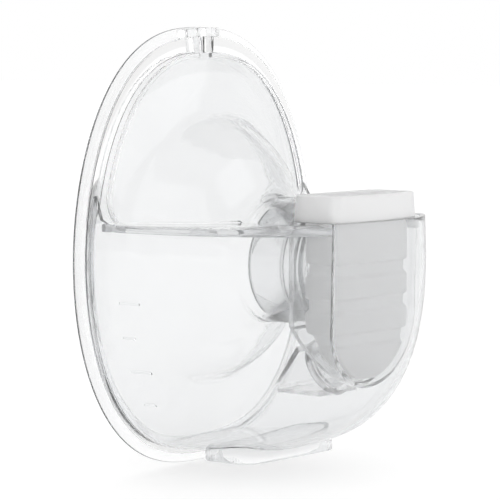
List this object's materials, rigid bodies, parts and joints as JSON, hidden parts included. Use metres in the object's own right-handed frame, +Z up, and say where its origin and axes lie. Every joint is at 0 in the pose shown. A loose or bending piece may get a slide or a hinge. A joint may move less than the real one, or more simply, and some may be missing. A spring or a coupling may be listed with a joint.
{
  "type": "wearable breast pump cup",
  "caption": "Clear oval breast pump cup with a shield funnel, milk bowl, motor bay, frosted folded diaphragm and duckbill valve.",
  "frame": {"origin": "centre of the bounding box in X and Y, at the lowest point of the shield's lip in Z", "axes": "+X across the cup, +Y towards the wearer (the shield's back), -Y towards the front of the bowl, +Z up, towards the pour spout"},
  "size_m": [0.11, 0.0702, 0.13],
  "materials": {
    "clear_plastic": "clear glossy moulded plastic",
    "shield_plastic": "clear glossy moulded plastic",
    "frosted_silicone": "frosted translucent silicone",
    "clear_silicone": "translucent silicone, satin"
  },
  "bodies": {
    "container": {"container_bowl": "clear_plastic", "container_rim": "clear_plastic", "rim_seal": "clear_silicone", "bay_panel": "clear_plastic", "bay_frame": "clear_plastic", "bay_shelf": "clear_plastic", "tunnel_hood": "clear_plastic", "tunnel_socket": "clear_plastic", "socket_o_ring": "clear_silicone", "pocket_back_plate": "clear_plastic", "pocket_channel": "clear_plastic", "valve_seat": "clear_plastic", "pour_spout": "clear_plastic", "base_foot": "clear_plastic", "volume_marks": "clear_plastic"},
    "shield": {"breast_shield": "shield_plastic"},
    "diaphragm": {"diaphragm_collar": "frosted_silicone"},
    "bag": {"diaphragm_bag": "frosted_silicone"},
    "valve": {"valve_collar": "clear_silicone"},
    "lip_front": {"valve_lip_front": "clear_silicone"},
    "lip_back": {"valve_lip_back": "clear_silicone"}
  },
  "joints": [
    {"name": "shield_release", "type": "slide", "parent": "container", "child": "shield", "axis": [0, 1, 0], "range_m": [0, 0.06]},
    {"name": "diaphragm_lift", "type": "slide", "parent": "container", "child": "diaphragm", "axis": [0, 0, 1], "range_m": [0, 0.055]},
    {"name": "bag_stroke", "type": "slide", "parent": "diaphragm", "child": "bag", "axis": [0, -1, 0], "range_m": [0, 0.0005], "stiffness_N_per_m": 60},
    {"name": "valve_pull", "type": "slide", "parent": "container", "child": "valve", "axis": [0, 0.8575, -0.5145], "range_m": [0, 0.012]},
    {"name": "front_lip_open", "type": "hinge", "parent": "valve", "child": "lip_front", "pos_m": [0, -0.01806, 0.02472], "axis": [-1, 0, 0], "range_deg": [0, 6], "stiffness_Nm_per_rad": 0.002},
    {"name": "back_lip_open", "type": "hinge", "parent": "valve", "child": "lip_back", "pos_m": [0, -0.00983, 0.03843], "axis": [1, 0, 0], "range_deg": [0, 6], "stiffness_Nm_per_rad": 0.002}
  ],
  "couplings": [
    {"joint": "back_lip_open", "follows": "front_lip_open", "ratio": 1}
  ]
}
